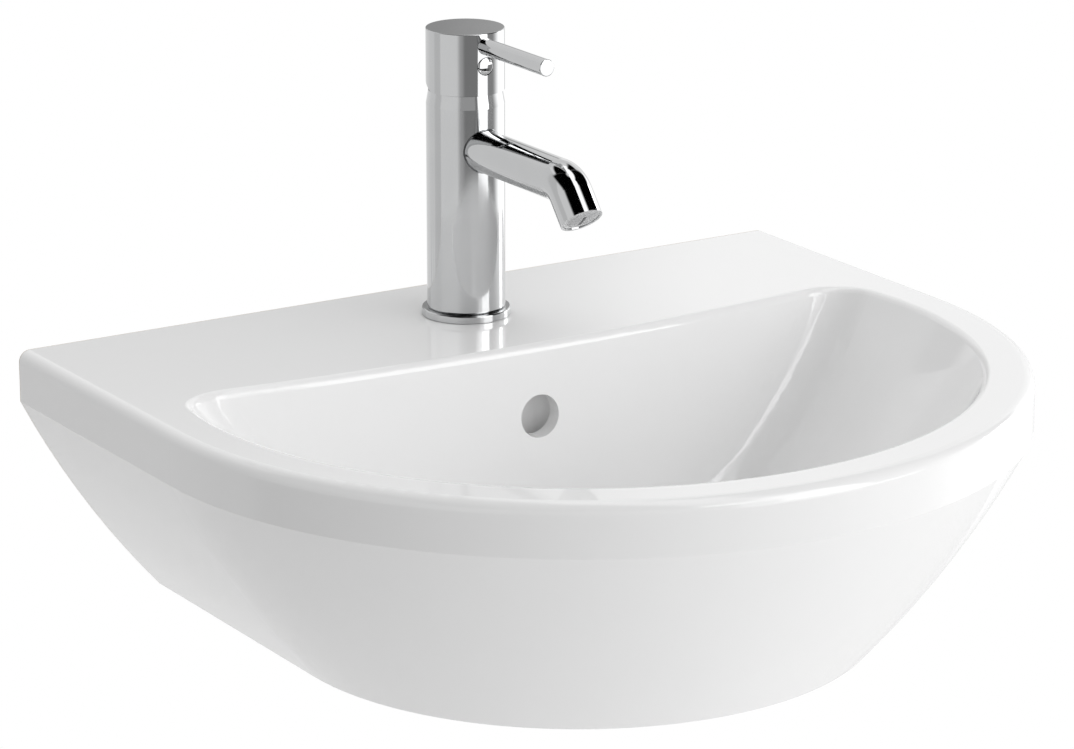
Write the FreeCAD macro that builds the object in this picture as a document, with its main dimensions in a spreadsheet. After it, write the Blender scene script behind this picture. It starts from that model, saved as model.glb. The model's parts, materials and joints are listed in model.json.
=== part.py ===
import FreeCAD, Part
import math
import os
import re
import Sketcher

# Wall-hung washbasin with a single-lever tap and a push-plug waste.
# Millimetres. X is across, Y goes into the wall and Z is up. The origin is on the wall face,
# midway between the two wall bolts. Words in expressions are cells of the sheet of sizes.

SIZES = {
    # Overrun of every cut, and the radial clearance of a sliding or located fit
    "cut_over": 5.0,
    "slip": 0.05,
    # Basin: plan and section of the outside
    "rim_half": 250.0,
    "side_length": 180.0,
    "rim_height": 80.0,
    "band_height": 29.0,
    "body_height": 151.0,
    "foot_inset": 83.5,
    "body_curve_radius": 570.0,
    "rim_round": 6.5,
    "deck_thick": 16.0,
    "apron_wall": 14.0,
    "back_wall": 14.0,
    # Basin: bowl, walked from the lip down to the floor, and its rear wall
    "rim_width": 27.0,
    "bowl_curve_radius": 320.0,
    "knee_inset": 78.5,
    "knee_depth": 96.0,
    "knee_curve_radius": 90.0,
    "floor_inset": 52.6,
    "floor_drop": 20.5,
    "centre_drop": 4.8,
    "bowl_wall": 10.0,
    "rear_offset": 39.5,
    "rear_curve_radius": 1526.0,
    "rear_tilt_angle": 3.0,
    "rear_wall": 12.0,
    "bowl_corner": 25.0,
    "bowl_lip": 4.5,
    # Basin: overflow duct, drain, tap hole and wall bolts
    "overflow_radius": 12.3,
    "overflow_depth": 41.0,
    "duct_half": 22.0,
    "duct_wall": 6.0,
    "channel_half": 14.0,
    "channel_web": 7.0,
    "channel_deep": 10.0,
    "channel_round": 7.0,
    "channel_rise": 7.5,
    "drain_lead": 28.0,
    "boss_radius": 36.0,
    "boss_height": 22.0,
    "seat_sink": 2.7,
    "recess_radius": 33.0,
    "waste_hole": 23.0,
    "tap_lead": -2.25,
    "tap_hole": 17.5,
    "bolt_spacing": 280.0,
    "bolt_hole": 7.0,
    # Tap: base ring and its gasket
    "base_radius": 25.4,
    "base_height": 4.4,
    "base_round": 0.8,
    "gasket_inner": 19.0,
    "gasket_outer": 22.5,
    "gasket_thick": 2.0,
    "gasket_proud": 0.3,
    # Tap: column
    "tap_radius": 22.2,
    "foot_round": 1.2,
    "spigot_radius": 16.8,
    "seam_gap": 0.4,
    "neck_radius": 20.9,
    "neck_taper_height": 7.5,
    "inlet_radius": 5.0,
    "inlet_depth": 14.0,
    "inlet_spread": 8.5,
    "inlet_back": 2.0,
    "waterway_radius": 3.2,
    "outlet_radius": 3.8,
    "outlet_front": 9.0,
    "socket_end": 4.0,
    "socket_chamfer": 0.7,
    # Tap: spout and aerator
    "spout_radius": 12.0,
    "spout_web": 1.4,
    "spout_bore": 9.0,
    "spout_root": 14.0,
    "spout_corner": 106.3,
    "spout_bend_radius": 16.0,
    "spout_drop_angle": 50.0,
    "spout_tail": 23.3,
    "aerator_radius": 10.4,
    "aerator_bore": 9.0,
    "aerator_mouth": 8.2,
    "aerator_length": 8.0,
    "aerator_sink": 0.4,
    "aerator_lip": 1.4,
    "dome_curve_radius": 28.0,
    "jet_slot_half": 0.9,
    "jet_slot_reach": 4.6,
    "washer_thick": 1.6,
    "washer_bore": 7.0,
    # Tap: head, rod, plug and grub screw
    "head_edge": 0.4,
    "head_bore": 18.6,
    "head_bevel_angle": 24.0,
    "hub_rise": 11.5,
    "lever_gap": 1.5,
    "lever_cover": 2.35,
    "lever_radius": 4.75,
    "lever_reach": 86.2,
    "lever_edge": 0.5,
    "lever_socket": 8.2,
    "lever_stud_radius": 3.0,
    "lever_stud_length": 8.0,
    "index_rise": 5.0,
    "index_radius": 5.15,
    "index_sink": 0.9,
    "index_curve_radius": 36.0,
    "index_pocket": 6.2,
    "grub_radius": 2.5,
    "grub_length": 7.0,
    # Tap: cartridge, from its seat in the column upward
    "seat_height": 112.0,
    "cartridge_radius": 17.5,
    "chamber_radius": 15.0,
    "shoulder_step": 0.3,
    "collar_radius": 14.5,
    "collar_rise": 5.0,
    "nut_radius": 18.8,
    "nut_drop": 2.0,
    "nut_height": 3.2,
    "nut_play": 0.2,
    "nut_cover": 1.3,
    "key_half": 2.0,
    "key_deep": 1.8,
    "port_seal": 1.2,
    "port_gap": 0.4,
    "port_groove": 1.0,
    "plate_thick": 2.0,
    "plate_radius": 14.8,
    "disc_thick": 2.5,
    "disc_film": 0.05,
    "slide_radius": 11.5,
    "slide_thick": 2.4,
    "mix_radius": 6.5,
    "mix_deep": 1.2,
    "driver_across": 9.0,
    "driver_along": 8.5,
    "driver_thick": 3.9,
    "driver_play": 0.3,
    "driver_gap": 1.15,
    "rotor_float": 0.2,
    "rotor_proud": 1.5,
    "rotor_radius": 12.0,
    "rotor_play": 0.1,
    "rotor_rim": 14.0,
    "rotor_rim_thick": 1.5,
    "lip_grip": 2.25,
    "lip_along": 7.0,
    "stem_slot_half": 4.3,
    "stem_slot_reach": 6.8,
    "pivot_rise": 4.0,
    "pin_radius": 1.5,
    "pin_half": 10.5,
    "stem_half": 4.0,
    "stem_drop": 3.0,
    "stem_grip": 9.0,
    "stem_neck_radius": 1.8,
    "ball_radius": 2.6,
    "ball_sink": 0.95,
    "ball_play": 0.3,
    # Tap: fixing under the deck
    "stud_radius": 4.0,
    "stud_front": 10.0,
    "stud_inside": 14.0,
    "stud_low": 62.0,
    "clamp_radius": 27.0,
    "clamp_gap_half": 14.5,
    "clamp_gap_front": 4.0,
    "clamp_rubber": 3.0,
    "clamp_steel": 2.5,
    "stud_nut_radius": 7.5,
    "stud_nut_height": 14.0,
    # Waste, measured from the ceramic seat in the bowl's floor
    "waste_tube": 20.95,
    "waste_bore": 18.2,
    "waste_tail": 58.0,
    "free_tail": 20.0,
    "relief_height": 1.5,
    "relief_deep": 0.8,
    "flange_radius": 31.5,
    "flange_thick": 2.5,
    "flange_round": 1.0,
    "dish_radius": 26.5,
    "dish_deep": 1.8,
    "top_seal_thick": 1.5,
    "seal_inner": 21.1,
    "seal_outer": 30.0,
    "low_seal_thick": 4.0,
    "waste_nut_radius": 31.0,
    "waste_nut_height": 10.0,
    "bridge_low": 24.0,
    "bridge_thick": 6.0,
    "bridge_half": 3.0,
    "guide_radius": 8.0,
    "spindle_radius": 5.0,
    "spindle_low": 26.0,
    "plug_radius": 29.5,
    "plug_thick": 4.0,
    "plug_dome": 1.6,
    "plug_travel": 8.0,
    "plug_gap": 0.5,
    "plug_seal_inner": 19.0,
    "plug_seal_outer": 25.0,
    "plug_seal_thick": 2.0,
}

# Lengths worked out from the sizes: the basin's lines, radii and depths, and the tap's heights from its seat
WORKED_OUT = {
    "foot_half": "rim_half - foot_inset",
    "bowl_radius": "rim_half - rim_width",
    "knee_radius": "bowl_radius - knee_inset",
    "floor_radius": "knee_radius - floor_inset",
    "floor_depth": "knee_depth + floor_drop",
    "bowl_depth": "floor_depth + centre_drop",
    "waste_seat": "bowl_depth + seat_sink",
    "boss_depth": "waste_seat + boss_height",
    "drain_line": "side_length + drain_lead",
    "rear_line": "side_length - rear_offset",
    "duct_line": "rear_line - channel_web - channel_deep - duct_wall",
    "tap_line": "(back_wall + duct_line) / 2 + tap_lead",
    "spout_height": "seat_height - spout_radius - spout_web",
    "driver_top": "seat_height + plate_thick + disc_thick + disc_film + slide_thick + driver_thick",
    "rotor_low": "driver_top + driver_gap",
    "chamber_roof": "rotor_low + rotor_rim_thick + rotor_float",
    "shoulder_height": "chamber_roof + shoulder_step",
    "nut_seat": "shoulder_height - nut_drop",
    "collar_height": "shoulder_height + collar_rise",
    "rotor_top": "collar_height + rotor_proud",
    "lip_low": "driver_top - lip_grip",
    "ball_height": "driver_top - ball_sink",
    "pivot_height": "rotor_low + pivot_rise",
    "stem_low": "pivot_height - stem_drop",
    "seam_height": "shoulder_height + nut_height + nut_cover",
    "hub_height": "seam_height + hub_rise",
    "stem_top": "hub_height + stem_grip",
    "index_height": "hub_height + index_rise",
    "lever_height": "index_height + index_radius + lever_gap + lever_radius",
    "tap_height": "lever_height + lever_radius + lever_cover",
}

DECK = ("0", "-side_length", "rim_height")
TAP = ("0", "-tap_line", "rim_height")
WASTE = ("0", "-drain_line", "rim_height - waste_seat")
FACING_WALL = "-90"

doc = FreeCAD.newDocument("washbasin")
sheet = doc.addObject("Spreadsheet::Sheet", "Sizes")
for row, (alias, size) in enumerate(SIZES.items(), 1):
    sheet.set(f"A{row}", alias)
    sheet.set(f"B{row}", str(size))
    sheet.setAlias(f"B{row}", alias)
doc.recompute()


# Tools for expressions, sketches and features


def sized(text):
    """Spell out the worked-out lengths in an expression and point every size at its cell."""

    def spell(word):
        name = word[0]
        if name in WORKED_OUT:
            return f"({sized(WORKED_OUT[name])})"
        return f"Sizes.{name}" if name in SIZES else name

    return re.sub(r"[a-z_]+", spell, text)


def value(text):
    """Work an expression out to a number."""
    return float(sheet.evalExpression(sized(text)))


def settle(thing, place, lean="0"):
    """Bind the place of a body or primitive, tipped about X by lean degrees."""
    turn = FreeCAD.Rotation(FreeCAD.Vector(1, 0, 0), value(lean))
    thing.Placement = FreeCAD.Placement(FreeCAD.Vector(), turn)
    for axis, text in zip("xyz", place):
        thing.setExpression(f"Placement.Base.{axis}", sized(text))
    if lean != "0":
        thing.setExpression("Placement.Rotation.Angle", sized(lean))


def new_body(label, place, lean="0"):
    body = doc.addObject("PartDesign::Body", label)
    body.Label = label
    body.AllowCompound = True
    settle(body, place, lean)
    return body


def sketch_on(body, role, lift="0", lean="0"):
    """Start a sketch on one of the body's own planes, lifted along its normal and tipped about X."""
    plane = next(flat for flat in body.Origin.OriginFeatures if flat.Role == role)
    sketch = body.newObject("Sketcher::SketchObject", body.Name + "_sketch")
    sketch.AttachmentSupport = [(plane, "")]
    sketch.MapMode = "FlatFace"
    turn = FreeCAD.Rotation(FreeCAD.Vector(1, 0, 0), value(lean))
    sketch.AttachmentOffset = FreeCAD.Placement(FreeCAD.Vector(), turn)
    sketch.setExpression("AttachmentOffset.Base.z", sized(lift))
    if lean != "0":
        sketch.setExpression("AttachmentOffset.Rotation.Angle", sized(lean))
    return sketch


def bind(sketch, kind, places, text):
    """Add one dimension to a sketch and bind it to its expression."""
    number = sketch.addConstraint(Sketcher.Constraint(kind, *places, value(text)))
    sketch.setExpression(f"Constraints[{number}]", sized(text))


def bent_side(start, end, radius):
    """Arc from start to end: centre to the right of the walk, or to its left for a minus radius."""
    walk = end - start
    aside = FreeCAD.Vector(walk.y, -walk.x, 0) / walk.Length
    rise = math.sqrt(max(radius * radius - walk.Length * walk.Length / 4, 0))
    centre = (start + end) / 2 + aside * math.copysign(rise, radius)
    first, last = (end, start) if radius > 0 else (start, end)
    angles = [math.atan2(spot.y - centre.y, spot.x - centre.x) for spot in (first, last)]
    circle = Part.Circle(centre, FreeCAD.Vector(0, 0, 1), abs(radius))
    return Part.ArcOfCircle(circle, angles[0], angles[1])


def outline(sketch, corners, closed=True):
    """Draw an outline through corners (across, up) or (across, up, radius).

    The third entry bends the side that ends at its corner. On an outline walked clockwise
    a plain radius swells outward and a minus radius hollows inward.
    """
    spots = [FreeCAD.Vector(value(corner[0]), value(corner[1]), 0) for corner in corners]
    sides = []
    for number, corner in enumerate(corners):
        if number == 0 and not closed:
            continue
        bend = value(corner[2]) if len(corner) == 3 else 0
        if bend:
            side = sketch.addGeometry(bent_side(spots[number - 1], spots[number], bend))
            bind(sketch, "Radius", (side,), corner[2].lstrip("-"))
        else:
            side = sketch.addGeometry(Part.LineSegment(spots[number - 1], spots[number]))
        root, tip = (2, 1) if bend > 0 else (1, 2)
        sides.append((side, root, tip, corner))
    for number, (side, root, tip, corner) in enumerate(sides):
        bind(sketch, "DistanceX", (-1, 1, side, tip), corner[0])
        bind(sketch, "DistanceY", (-1, 1, side, tip), corner[1])
        if number or closed:
            before = sides[number - 1]
            sketch.addConstraint(Sketcher.Constraint("Coincident", before[0], before[2], side, root))
        else:
            bind(sketch, "DistanceX", (-1, 1, side, root), corners[0][0])
            bind(sketch, "DistanceY", (-1, 1, side, root), corners[0][1])
    return sketch


def box_outline(sketch, left, right, low, high):
    return outline(sketch, [(left, high), (right, high), (right, low), (left, low)])


def rounds(sketch, circles):
    """Draw circles given as (across, up, radius)."""
    for across, up, radius in circles:
        centre = FreeCAD.Vector(value(across), value(up), 0)
        circle = sketch.addGeometry(Part.Circle(centre, FreeCAD.Vector(0, 0, 1), value(radius)))
        bind(sketch, "Radius", (circle,), radius)
        bind(sketch, "DistanceX", (-1, 1, circle, 3), across)
        bind(sketch, "DistanceY", (-1, 1, circle, 3), up)
    return sketch


def extrude(kind, sketch, length, flip, both):
    """Pad or pocket a sketch; both spreads the length evenly to each side of its plane."""
    body = sketch.getParentGeoFeatureGroup()
    step = body.newObject("PartDesign::" + kind, f"{body.Name}_{kind.lower()}")
    step.Profile = sketch
    step.setExpression("Length", sized(length))
    step.Reversed = flip
    step.SideType = "Symmetric" if both else "One side"
    return step


def pad(sketch, length, flip=False, both=False):
    return extrude("Pad", sketch, length, flip, both)


def pocket(sketch, length, flip=False, both=False):
    """Cut a sketch out of its body and make sure that it removes something."""
    body = sketch.getParentGeoFeatureGroup()
    doc.recompute()
    before = body.Shape.Volume
    step = extrude("Pocket", sketch, length, flip, both)
    doc.recompute()
    if not body.Shape.Volume < before:
        raise ValueError(f"{body.Label}: a pocket cuts nothing")
    return step


def spin(sketch, angle=360, flip=False):
    body = sketch.getParentGeoFeatureGroup()
    step = body.newObject("PartDesign::Revolution", body.Name + "_turn")
    step.Profile = sketch
    step.ReferenceAxis = (sketch, ["V_Axis"])
    step.Angle = angle
    step.Reversed = flip
    return step


def turned(label, corners, place, lean="0"):
    """Body turned about its own Z from an outline of (radius, height)."""
    body = new_body(label, place, lean)
    spin(outline(sketch_on(body, "XZ_Plane"), corners))
    return body


def washer(label, inner, outer, low, high, place, lean="0"):
    return turned(label, [(inner, high), (outer, high), (outer, low), (inner, low)], place, lean)


def dress(body, kind, edges, size_name, size):
    """Fillet or chamfer the numbered edges of a body's last step."""
    base = body.Tip
    step = body.newObject("PartDesign::" + kind, f"{body.Name}_{kind.lower()}")
    step.Base = (base, [f"Edge{number}" for number in edges])
    step.setExpression(size_name, sized(size))
    return step


def edges_where(shape, test):
    return [number for number, edge in enumerate(shape.Edges, 1) if test(edge)]


def peg(label, radius, length, place, lean="0"):
    """Plain cylinder along its own Z."""
    cylinder = doc.addObject("Part::Cylinder", label)
    cylinder.setExpression("Radius", sized(radius))
    cylinder.setExpression("Height", sized(length))
    settle(cylinder, place, lean)
    return cylinder


def joined(label, shapes):
    union = doc.addObject("Part::MultiFuse", label)
    union.Shapes = shapes
    return union


def cut_away(label, base, tool):
    rest = doc.addObject("Part::Cut", label)
    rest.Base = base
    rest.Tool = tool
    return rest


def hex_nut(label, radius, height, bore, place):
    """Six-sided nut by its corner radius, standing on its place."""
    prism = doc.addObject("Part::Prism", label + "_blank")
    prism.Polygon = 6
    prism.setExpression("Circumradius", sized(radius))
    prism.setExpression("Height", sized(height))
    settle(prism, place)
    return cut_away(label, prism, peg(label + "_bore", bore, height, place))


# Basin


def skirt(wall, drop):
    """Right-hand edge of the basin's section, moved in by wall and run on past the foot by drop."""
    edge = [
        (f"rim_half - {wall}", "-band_height"),
        (f"foot_half - {wall}", "-body_height", "body_curve_radius"),
    ]
    if drop != "0":
        edge.append((f"foot_half - {wall}", f"-body_height - {drop}"))
    return edge


def mirrored(edge):
    """The same edge on the left, walked from its foot up."""
    bends = [corner[2:] for corner in edge[1:]] + [()]
    left = [(f"-({corner[0]})", corner[1]) + bend for corner, bend in zip(edge, bends)]
    return left[::-1]


def basin_form(label, wall, top, drop, length):
    """Round front and straight rear of the basin's section, the rear as long as length."""
    body = new_body(label, DECK)
    edge = skirt(wall, drop)
    across = edge[0][0]
    low = edge[-1][1]
    half = [("0", top), (across, top)] + edge + [("0", low)]
    spin(outline(sketch_on(body, "XZ_Plane"), half), 180, flip=True)
    full = [(f"-({across})", top), (across, top)] + edge + mirrored(edge)
    pad(outline(sketch_on(body, "XZ_Plane"), full), length, flip=True)
    return body


def bowl_side(wall):
    """Centre (radius, height) of the arc from the bowl's lip to its knee, moved out and down by wall."""
    inset = "(bowl_radius - knee_radius)"
    chord = f"sqrt({inset} * {inset} + knee_depth * knee_depth)"
    apart = f"sqrt(bowl_curve_radius * bowl_curve_radius - {chord} * {chord} / 4)"
    radius = f"(bowl_radius + knee_radius) / 2 - {apart} * knee_depth / {chord} + {wall}"
    height = f"{apart} * {inset} / {chord} - knee_depth / 2 - {wall}"
    return radius, height


def bowl_form(label, wall, back, top):
    """Bowl grown by wall at its round side and by back at its rear wall, up to the height top."""
    body = new_body(label, DECK)
    radius, height = bowl_side(wall)
    climb = f"({top} - ({height}))"
    section = [
        ("0", top),
        (f"{radius} + sqrt(bowl_curve_radius * bowl_curve_radius - {climb} * {climb})", top),
        (f"knee_radius + {wall}", f"-knee_depth - {wall}", "bowl_curve_radius"),
        (f"floor_radius + {wall}", f"-floor_depth - {wall}", "knee_curve_radius"),
        ("0", f"-bowl_depth - {wall}"),
    ]
    spin(outline(sketch_on(body, "XZ_Plane"), section))
    sag = "rear_curve_radius - sqrt(rear_curve_radius * rear_curve_radius - rim_half * rim_half)"
    flank = f"side_length - rear_line + {back} + {sag}"
    behind = [
        ("-rim_half", "rim_half"),
        ("rim_half", "rim_half"),
        ("rim_half", flank),
        ("-rim_half", flank, "rear_curve_radius"),
    ]
    leaning = sketch_on(body, "XY_Plane", lean="-rear_tilt_angle")
    pocket(outline(leaning, behind), "body_height * 2", both=True)
    rear = max(body.Shape.Faces, key=lambda face: face.CenterOfMass.y)
    corner = [edge for edge in rear.Edges if edge.BoundBox.ZLength > value("slip")]
    picked = edges_where(body.Shape, lambda edge: any(edge.isSame(side) for side in corner))
    dress(body, "Fillet", picked, "Radius", f"bowl_corner + {wall}")
    return body


def duct_form(label, half, front, back, top, low, roof):
    """Bent duct behind and under the bowl, from below the deck to the drain, seen from the side."""
    body = new_body(label, ("0", "0", "rim_height"))
    bend = [
        (f"-({front})", f"-({top})"),
        (f"-({back})", f"-({top})"),
        (f"-({back})", f"-({low})"),
        ("-drain_line", f"-({low})"),
        ("-drain_line", f"-({roof})"),
        (f"-({front})", f"-({roof})"),
    ]
    pad(outline(sketch_on(body, "YZ_Plane"), bend), f"{half} * 2", both=True)
    return body


def basin():
    outside = basin_form("outside", "0", "0", "0", "side_length")
    doc.recompute()
    dress(outside, "Fillet", edges_where(outside.Shape, on_rim), "Radius", "rim_round")
    hollow = basin_form("hollow", "apron_wall", "-deck_thick", "cut_over", "side_length - back_wall")
    shell = bowl_form("bowl_shell", "bowl_wall", "rear_wall", "-deck_thick / 2")
    cavity = bowl_form("bowl_cavity", "0", "0", "cut_over")
    front = "rear_line - channel_web"
    back = "duct_line + duct_wall"
    top = "overflow_depth - channel_half"
    roof = "bowl_depth + bowl_wall"
    outer_front = f"{front} + duct_wall"
    outer_back = f"{back} - duct_wall"
    outer_top = f"{top} - duct_wall"
    duct = duct_form("duct", "duct_half", outer_front, outer_back, outer_top, "boss_depth", roof)
    channel = duct_form("channel", "channel_half", front, back, top, f"{roof} + channel_rise", roof)
    doc.recompute()
    dress(channel, "Fillet", edges_where(channel.Shape, on_channel_back), "Radius", "channel_round")
    boss_foot = ("0", "-drain_line", "rim_height - boss_depth")
    boss = peg("boss", "boss_radius", "boss_depth - bowl_depth", boss_foot)
    casting = joined("casting", [cut_away("apron", outside, hollow), shell, duct, boss])
    below_boss = ("0", "-drain_line", "rim_height - boss_depth - cut_over")
    below_deck = ("0", "-tap_line", "rim_height - deck_thick - cut_over")
    in_bowl = ("0", "-rear_line - rear_wall", "rim_height - overflow_depth")
    into_channel = "rear_wall + channel_web + channel_deep / 2"
    openings = [
        cavity,
        channel,
        peg("waste_way", "waste_hole", "boss_depth - waste_seat + cut_over * 2", below_boss),
        peg("waste_recess", "recess_radius", "waste_seat - floor_depth + cut_over", WASTE),
        peg("tap_way", "tap_hole", "deck_thick + cut_over * 2", below_deck),
        peg("overflow_way", "overflow_radius", into_channel, in_bowl, FACING_WALL),
    ]
    for name, side in (("left", "-"), ("right", "")):
        spot = (f"{side}bolt_spacing / 2", "-back_wall - cut_over", "0")
        through = "back_wall + cut_over * 2"
        openings.append(peg(f"{name}_bolt_way", "bolt_hole", through, spot, FACING_WALL))
    fired = cut_away("fired", casting, joined("openings", openings))
    body = doc.addObject("PartDesign::Body", "basin")
    body.Label = "basin"
    body.BaseFeature = fired
    doc.recompute()
    dress(body, "Fillet", edges_where(body.Shape, on_bowl_lip), "Radius", "bowl_lip")
    return body


def on_rim(edge):
    """True for the edges where the deck meets the front and the sides."""
    box = edge.BoundBox
    level = math.isclose(box.ZMin, value("rim_height"), abs_tol=value("slip"))
    flat = box.ZLength < value("slip")
    outer = math.isclose(max(-box.XMin, box.XMax), value("rim_half"), abs_tol=value("slip"))
    return level and flat and outer and box.YMin < -value("slip")


def on_channel_back(edge):
    """True for the two upright edges at the back of the overflow channel."""
    box = edge.BoundBox
    upright = box.ZLength > value("slip") and max(box.XLength, box.YLength) < value("slip")
    return upright and math.isclose(box.YMin, -value("duct_line + duct_wall"), abs_tol=value("slip"))


def on_bowl_lip(edge):
    """True for the edges where the deck meets the bowl."""
    box = edge.BoundBox
    level = math.isclose(box.ZMin, value("rim_height"), abs_tol=value("slip"))
    flat = box.ZLength < value("slip")
    inside = max(-box.XMin, box.XMax) < value("bowl_radius + slip")
    return level and flat and inside and box.YMax < -value("tap_line + tap_hole + cut_over")


# Tap column, base and spout


def base_ring():
    body = turned(
        "base_ring",
        [
            ("spigot_radius + slip", "base_height"),
            ("base_radius - base_round", "base_height"),
            ("base_radius", "base_height - base_round", "base_round"),
            ("base_radius", "gasket_proud"),
            ("gasket_outer", "gasket_proud"),
            ("gasket_outer", "gasket_thick"),
            ("gasket_inner", "gasket_thick"),
            ("gasket_inner", "gasket_proud"),
            ("spigot_radius + slip", "gasket_proud"),
        ],
        TAP,
    )
    gasket = washer("base_gasket", "gasket_inner + slip", "gasket_outer - slip", "0", "gasket_thick", TAP)
    return [body, gasket]


def ports(inlet, outlet):
    """The two inlets and the outlet of the mixing valve, as circles seen from above."""
    return [
        ("-inlet_spread", "inlet_back", inlet),
        ("inlet_spread", "inlet_back", inlet),
        ("0", "-outlet_front", outlet),
    ]


def tap_body():
    body_top = "seam_height - seam_gap"
    body = turned(
        "tap_body",
        [
            ("0", "seat_height"),
            ("cartridge_radius + slip", "seat_height"),
            ("cartridge_radius + slip", "nut_seat"),
            ("nut_radius + slip", "nut_seat"),
            ("nut_radius + slip", body_top),
            ("neck_radius", body_top),
            ("tap_radius", f"{body_top} - neck_taper_height"),
            ("tap_radius", "base_height + foot_round"),
            ("tap_radius - foot_round", "base_height", "foot_round"),
            ("spigot_radius", "base_height"),
            ("spigot_radius", "gasket_proud"),
            ("0", "gasket_proud"),
        ],
        TAP,
    )
    inlets = ports("inlet_radius", "outlet_radius")[:2]
    pocket(rounds(sketch_on(body, "XY_Plane", "gasket_proud"), inlets), "inlet_depth", flip=True)
    stud = rounds(sketch_on(body, "XY_Plane", "gasket_proud"), [("0", "-stud_front", "stud_radius + slip")])
    pocket(stud, "stud_inside - gasket_proud", flip=True)
    ways = ports("waterway_radius", "outlet_radius")
    feed = "seat_height - gasket_proud - inlet_depth / 2"
    pocket(rounds(sketch_on(body, "XY_Plane", "seat_height"), ways[:2]), feed)
    pocket(rounds(sketch_on(body, "XY_Plane", "seat_height"), ways[2:]), "seat_height - spout_height")
    socket = [("0", "spout_height", "spout_radius + slip")]
    face = "tap_radius + cut_over"
    pocket(rounds(sketch_on(body, "XZ_Plane", face), socket), f"{face} - socket_end")
    mouth = edges_where(body.Shape, on_spout_mouth)
    dress(body, "Chamfer", mouth, "Size", "socket_chamfer")
    return [body]


def on_spout_mouth(edge):
    """True for the curved edge where the spout's socket breaks through the column."""
    box = edge.BoundBox
    middle = math.isclose(box.Center.z, value("rim_height + spout_height"), abs_tol=value("slip"))
    wide = math.isclose(box.ZLength, value("(spout_radius + slip) * 2"), abs_tol=value("slip"))
    return middle and wide and box.YMin < -value("tap_line + tap_radius - slip")


def spout():
    """Bent tube, with a counterbore for the aerator, and what sits in it."""
    body = new_body("spout_tube", TAP)
    reach = "spout_bend_radius * tan(spout_drop_angle / 2)"
    route = [
        ("-spout_root", "spout_height"),
        (f"-spout_corner + {reach}", "spout_height"),
        (
            f"-spout_corner - {reach} * cos(spout_drop_angle)",
            f"spout_height - {reach} * sin(spout_drop_angle)",
            "-spout_bend_radius",
        ),
        (
            "-spout_corner - spout_tail * cos(spout_drop_angle)",
            "spout_height - spout_tail * sin(spout_drop_angle)",
        ),
    ]
    path = outline(sketch_on(body, "YZ_Plane"), route, closed=False)
    rings = [("0", "spout_height", "spout_radius"), ("0", "spout_height", "spout_bore")]
    profile = rounds(sketch_on(body, "XZ_Plane", "spout_root"), rings)
    pipe = body.newObject("PartDesign::AdditivePipe", "spout_pipe")
    pipe.Profile = profile
    pipe.Spine = (path, ["Edge1", "Edge2", "Edge3"])
    end = (
        "0",
        "-tap_line - spout_corner - spout_tail * cos(spout_drop_angle)",
        "rim_height + spout_height - spout_tail * sin(spout_drop_angle)",
    )
    deep = "aerator_sink + aerator_length + washer_thick"
    out = "90 + spout_drop_angle"
    back = "spout_drop_angle - 90"
    bore = peg("aerator_way", "aerator_radius + slip", deep, end, back)
    tube = cut_away("spout", body, bore)
    return [tube] + aerator(end, out)


def dome_rise(curve, reach):
    """Height of a shallow dome of the given curve radius at its middle, over its edge at the radius reach."""
    return f"{curve} - sqrt({curve} * {curve} - {reach} * {reach})"


def aerator(end, out):
    """Housing, domed insert with its slot, and washer, turned about the way out of the spout."""
    low = "-aerator_sink - aerator_length"
    shoulder = "-aerator_sink - aerator_lip"
    housing = turned(
        "aerator_housing",
        [
            ("aerator_mouth", "-aerator_sink"),
            ("aerator_radius", "-aerator_sink"),
            ("aerator_radius", low),
            ("aerator_bore", low),
            ("aerator_bore", shoulder),
            ("aerator_mouth", shoulder),
        ],
        end,
        out,
    )
    nose = "(aerator_mouth - slip)"
    insert = turned(
        "aerator_insert",
        [
            ("0", f"-aerator_sink + {dome_rise('dome_curve_radius', nose)}"),
            (nose, "-aerator_sink", "dome_curve_radius"),
            (nose, shoulder),
            ("aerator_bore - slip", shoulder),
            ("aerator_bore - slip", low),
            ("0", low),
        ],
        end,
        out,
    )
    slot = sketch_on(insert, "XY_Plane", low)
    box_outline(slot, "-jet_slot_half", "jet_slot_half", "-jet_slot_reach", "jet_slot_reach")
    pocket(slot, "aerator_length + aerator_sink + cut_over", flip=True)
    seal_low = f"{low} - washer_thick"
    seal = washer("aerator_seal", "washer_bore", "aerator_radius - slip", seal_low, low, end, out)
    return [housing, insert, seal]


# Lever head and what turns with it


def lever_head():
    head = turned(
        "lever_head",
        [
            ("0", "tap_height"),
            ("tap_radius - head_edge", "tap_height"),
            ("tap_radius", "tap_height - head_edge", "head_edge"),
            ("tap_radius", "seam_height"),
            ("head_bore", "seam_height"),
            ("head_bore", "hub_height"),
            ("0", "hub_height"),
        ],
        TAP,
    )
    wide = "tap_radius + cut_over"
    bevel = [
        ("0", "seam_height"),
        (wide, f"seam_height + ({wide}) * tan(head_bevel_angle)"),
        (wide, "seam_height - cut_over"),
        ("0", "seam_height - cut_over"),
    ]
    pocket(outline(sketch_on(head, "YZ_Plane"), bevel), f"({wide}) * 2", both=True)
    square = sketch_on(head, "XY_Plane", "hub_height")
    fit = "stem_half + slip"
    box_outline(square, f"-({fit})", fit, f"-({fit})", fit)
    pocket(square, "stem_top + slip - hub_height", flip=True)
    holes = [
        ("lever_height", "lever_radius + slip", "lever_socket"),
        ("lever_height", "lever_stud_radius + slip", "lever_socket + lever_stud_length + slip"),
        ("index_height", "index_radius", "index_pocket"),
        ("index_height", "grub_radius + slip", "tap_radius - stem_half"),
    ]
    for height, radius, deep in holes:
        hole = rounds(sketch_on(head, "XZ_Plane", wide), [("0", height, radius)])
        pocket(hole, f"cut_over + {deep}")
    return [head]


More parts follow.
